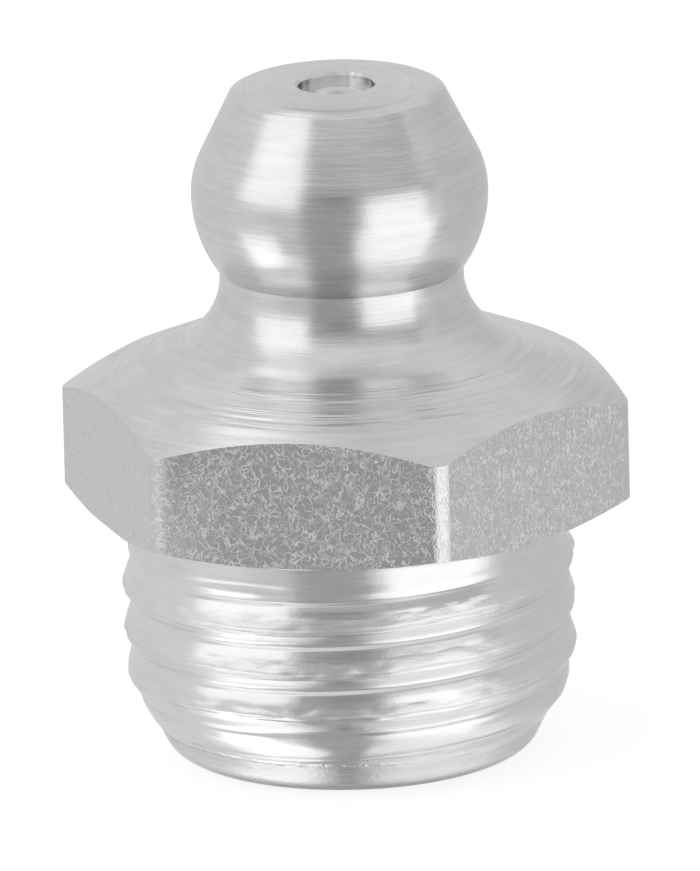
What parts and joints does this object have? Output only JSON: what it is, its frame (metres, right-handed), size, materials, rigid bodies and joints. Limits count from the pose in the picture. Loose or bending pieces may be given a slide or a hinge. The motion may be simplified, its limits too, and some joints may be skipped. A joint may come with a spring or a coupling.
{
  "type": "grease nipple",
  "caption": "Straight hydraulic grease nipple, M10 x 1: hexagon body with a ball-shaped coupling head, threaded shank and a spring-loaded ball valve inside.",
  "frame": {"origin": "centre of the shank's end face, on the axis", "axes": "+Z along the axis from the shank to the coupling head; two of the six flats face +Y and -Y"},
  "size_m": [0.0126, 0.011, 0.015],
  "materials": {
    "zinc_plated_steel": "bright zinc plating over turned steel",
    "ball_steel": "polished",
    "spring_wire": "drawn spring wire"
  },
  "bodies": {
    "nipple": {"body": "zinc_plated_steel", "spring": "spring_wire"},
    "valve": {"ball": "ball_steel"}
  },
  "joints": [
    {"name": "valve_lift", "type": "slide", "parent": "nipple", "child": "valve", "axis": [0, 0, -1], "range_m": [0, 0.001], "stiffness_N_per_m": 825, "deforming": ["spring"]}
  ]
}
